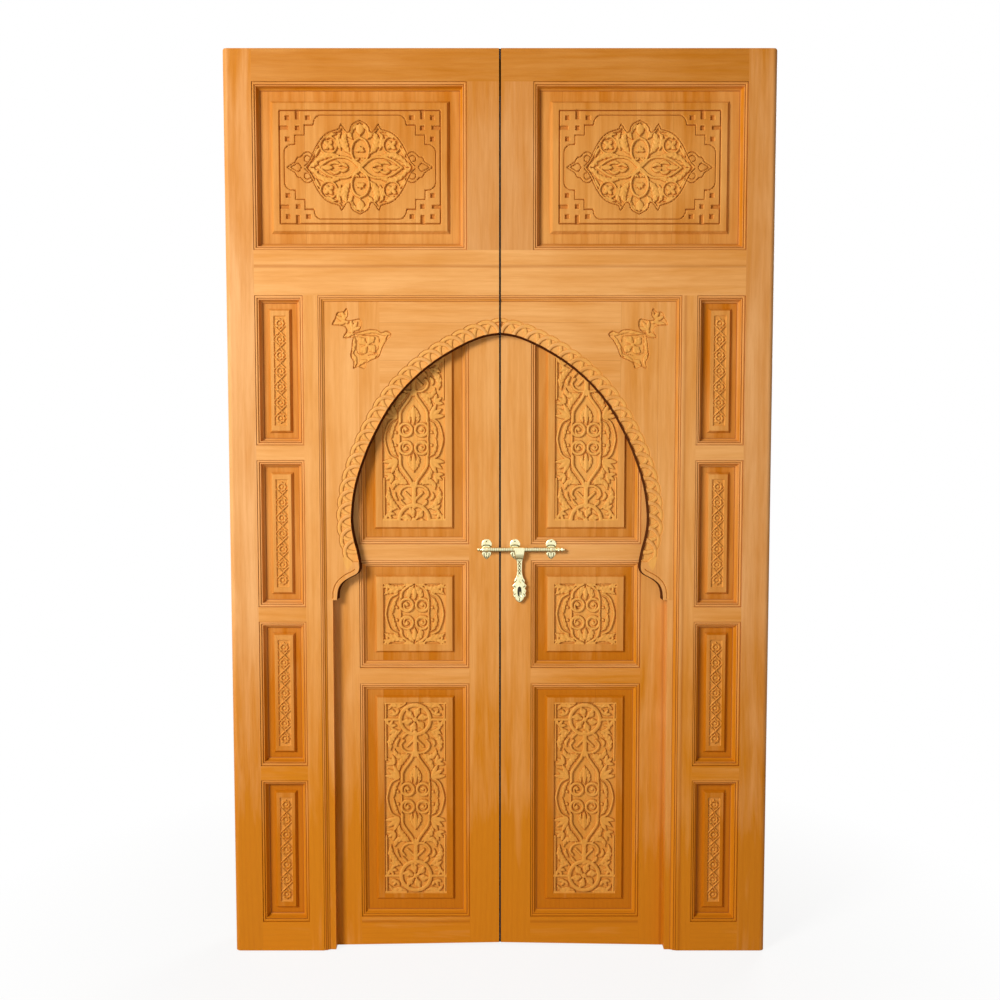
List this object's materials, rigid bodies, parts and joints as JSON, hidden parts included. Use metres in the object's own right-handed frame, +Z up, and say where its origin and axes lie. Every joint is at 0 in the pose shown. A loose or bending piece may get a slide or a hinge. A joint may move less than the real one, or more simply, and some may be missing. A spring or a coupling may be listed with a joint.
{
  "type": "carved wooden door",
  "caption": "Tall carved wooden door in a fixed frame: big leaves with small arched inner leaves, hinges, and a sliding bolt with a hanging hasp.",
  "frame": {"origin": "on the floor, at the middle of the width and of the depth of the closed door", "axes": "+X to the right seen from the carved side, +Y from the carved side into the building, +Z up"},
  "size_m": [1.706, 0.139, 2.8],
  "materials": {
    "leaf_wood": "oiled honey-coloured softwood, satin",
    "wicket_wood": "oiled honey-coloured softwood, satin",
    "carved_wood": "carved and oiled, satin",
    "frame_wood": "planed and oiled",
    "brass": "hammered, worn",
    "hinge_iron": "dark, waxed"
  },
  "bodies": {
    "root": {"head": "frame_wood", "left_jamb": "frame_wood", "left_frame_hinge_plates": "hinge_iron", "left_leaf_hinge_pins": "hinge_iron", "right_jamb": "frame_wood", "right_frame_hinge_plates": "hinge_iron", "right_leaf_hinge_pins": "hinge_iron"},
    "left_leaf": {"left_outer_stile": "leaf_wood", "left_inner_stile": "leaf_wood", "left_top_rail": "leaf_wood", "left_transom_rail": "leaf_wood", "left_upper_meeting_stile": "leaf_wood", "left_side_rails": "leaf_wood", "left_side_panels": "carved_wood", "left_top_panel": "carved_wood", "left_panel_mouldings": "leaf_wood", "left_arched_board": "carved_wood", "left_arch_strip": "leaf_wood", "left_arch_moulding": "leaf_wood", "left_leaf_hinge_plates": "hinge_iron", "left_wicket_hinge_seats": "hinge_iron", "left_wicket_hinge_pins": "hinge_iron"},
    "left_wicket": {"left_wicket_hinge_stile": "wicket_wood", "left_wicket_meeting_stile": "wicket_wood", "left_wicket_rails": "wicket_wood", "left_wicket_upper_panel": "carved_wood", "left_wicket_middle_panel": "carved_wood", "left_wicket_lower_panel": "carved_wood", "left_wicket_mouldings": "wicket_wood", "left_wicket_hinge_plates": "hinge_iron", "left_staple": "brass"},
    "right_leaf": {"right_outer_stile": "leaf_wood", "right_inner_stile": "leaf_wood", "right_top_rail": "leaf_wood", "right_transom_rail": "leaf_wood", "right_upper_meeting_stile": "leaf_wood", "right_side_rails": "leaf_wood", "right_side_panels": "carved_wood", "right_top_panel": "carved_wood", "right_panel_mouldings": "leaf_wood", "right_arched_board": "carved_wood", "right_arch_strip": "leaf_wood", "right_arch_moulding": "leaf_wood", "right_leaf_hinge_plates": "hinge_iron", "right_wicket_hinge_seats": "hinge_iron", "right_wicket_hinge_pins": "hinge_iron"},
    "right_wicket": {"right_wicket_hinge_stile": "wicket_wood", "right_wicket_meeting_stile": "wicket_wood", "right_wicket_rails": "wicket_wood", "right_wicket_upper_panel": "carved_wood", "right_wicket_middle_panel": "carved_wood", "right_wicket_lower_panel": "carved_wood", "right_wicket_mouldings": "wicket_wood", "right_wicket_hinge_plates": "hinge_iron", "middle_staple": "brass", "end_staple": "brass", "hasp_nose": "brass"},
    "bolt": {"bolt": "brass"},
    "hasp": {"hasp": "brass"}
  },
  "joints": [
    {"name": "left_leaf_hinge", "type": "hinge", "parent": "root", "child": "left_leaf", "pos_m": [-0.846, 0.009, 1.4], "axis": [0, 0, -1], "range_deg": [0, 90]},
    {"name": "right_leaf_hinge", "type": "hinge", "parent": "root", "child": "right_leaf", "pos_m": [0.846, 0.009, 1.4], "axis": [0, 0, 1], "range_deg": [0, 90]},
    {"name": "left_wicket_hinge", "type": "hinge", "parent": "left_leaf", "child": "left_wicket", "pos_m": [-0.555, 0.016, 1], "axis": [0, 0, 1], "range_deg": [0, 100]},
    {"name": "right_wicket_hinge", "type": "hinge", "parent": "right_leaf", "child": "right_wicket", "pos_m": [0.555, 0.016, 1], "axis": [0, 0, -1], "range_deg": [0, 100]},
    {"name": "bolt_slide", "type": "slide", "parent": "right_wicket", "child": "bolt", "axis": [1, 0, 0], "range_m": [0, 0.074]},
    {"name": "hasp_hinge", "type": "hinge", "parent": "bolt", "child": "hasp", "pos_m": [0.067, -0.04303, 1.28], "axis": [-1, 0, 0], "range_deg": [0, 120]}
  ]
}
